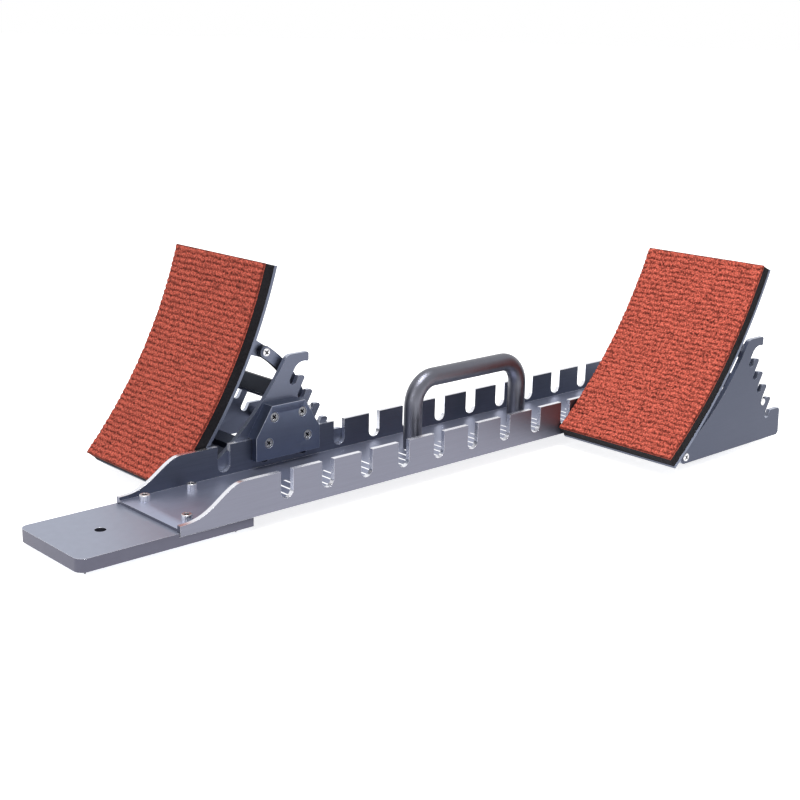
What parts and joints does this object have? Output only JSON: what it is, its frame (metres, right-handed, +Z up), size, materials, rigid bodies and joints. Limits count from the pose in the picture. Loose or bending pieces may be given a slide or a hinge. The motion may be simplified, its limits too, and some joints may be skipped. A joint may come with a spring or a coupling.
{
  "type": "starting blocks",
  "caption": "Sprint starting blocks: a slotted aluminium channel rail with front plate and carry handle, and curved ribbed foot pads propped on toothed brackets on either side.",
  "frame": {"origin": "centre of the bounding box in X and Y, at the height of the spike tips", "axes": "+X runs along the rail away from the start line, +Y to the runner's right, +Z up"},
  "size_m": [0.88, 0.415, 0.2281],
  "materials": {
    "anodised_metal": "satin anodised",
    "handle_coat": "matte powder coat",
    "bright_steel": "bright zinc",
    "dark_steel": "dark satin",
    "black_rubber": "matte",
    "red_tread": "coarse ribbed"
  },
  "bodies": {
    "rail": {"rail": "anodised_metal", "front_plate": "anodised_metal", "front_spikes": "dark_steel", "front_plate_screws": "bright_steel", "rear_plate": "anodised_metal", "rear_spikes": "dark_steel", "rear_plate_screws": "bright_steel", "carry_handle": "handle_coat", "handle_screws": "bright_steel"},
    "front_carriage": {"front_inner_cheek": "anodised_metal", "front_outer_cheek": "anodised_metal", "front_base_tie": "anodised_metal", "front_upper_tie": "anodised_metal", "front_tie_screws": "bright_steel", "front_lock_block": "anodised_metal", "front_block_screws": "bright_steel", "front_hinge_bolt": "bright_steel"},
    "front_pad": {"front_pad_back": "anodised_metal", "front_pad_core": "black_rubber", "front_pad_tread": "red_tread", "front_hinge_lugs": "anodised_metal", "front_prop_lugs": "anodised_metal", "front_pivot_screws": "bright_steel"},
    "front_prop": {"front_inner_arm": "dark_steel", "front_outer_arm": "dark_steel", "front_prop_tie": "dark_steel", "front_prop_rod": "bright_steel"},
    "rear_carriage": {"rear_inner_cheek": "anodised_metal", "rear_outer_cheek": "anodised_metal", "rear_base_tie": "anodised_metal", "rear_upper_tie": "anodised_metal", "rear_tie_screws": "bright_steel", "rear_lock_block": "anodised_metal", "rear_block_screws": "bright_steel", "rear_hinge_bolt": "bright_steel"},
    "rear_pad": {"rear_pad_back": "anodised_metal", "rear_pad_core": "black_rubber", "rear_pad_tread": "red_tread", "rear_hinge_lugs": "anodised_metal", "rear_prop_lugs": "anodised_metal", "rear_pivot_screws": "bright_steel"},
    "rear_prop": {"rear_inner_arm": "dark_steel", "rear_outer_arm": "dark_steel", "rear_prop_tie": "dark_steel", "rear_prop_rod": "bright_steel"}
  },
  "joints": [
    {"name": "front_lift", "type": "slide", "parent": "rail", "child": "front_carriage", "axis": [0, 0, 1], "range_m": [0, 0.03]},
    {"name": "front_tilt", "type": "hinge", "parent": "front_carriage", "child": "front_pad", "pos_m": [-0.241, 0.126, 0.017], "axis": [0, -1, 0], "range_deg": [0, 12]},
    {"name": "front_prop_swing", "type": "hinge", "parent": "front_pad", "child": "front_prop", "pos_m": [-0.15622, 0.126, 0.13586], "axis": [0, -1, 0], "range_deg": [0, 62]},
    {"name": "rear_lift", "type": "slide", "parent": "rail", "child": "rear_carriage", "axis": [0, 0, 1], "range_m": [0, 0.03]},
    {"name": "rear_tilt", "type": "hinge", "parent": "rear_carriage", "child": "rear_pad", "pos_m": [0.209, -0.126, 0.017], "axis": [0, -1, 0], "range_deg": [0, 12]},
    {"name": "rear_prop_swing", "type": "hinge", "parent": "rear_pad", "child": "rear_prop", "pos_m": [0.3094, -0.126, 0.123], "axis": [0, -1, 0], "range_deg": [0, 46]}
  ],
  "couplings": [
    {"joint": "front_prop_swing", "follows": "front_tilt", "ratio": 5.05},
    {"joint": "rear_prop_swing", "follows": "rear_tilt", "ratio": 3.75}
  ]
}
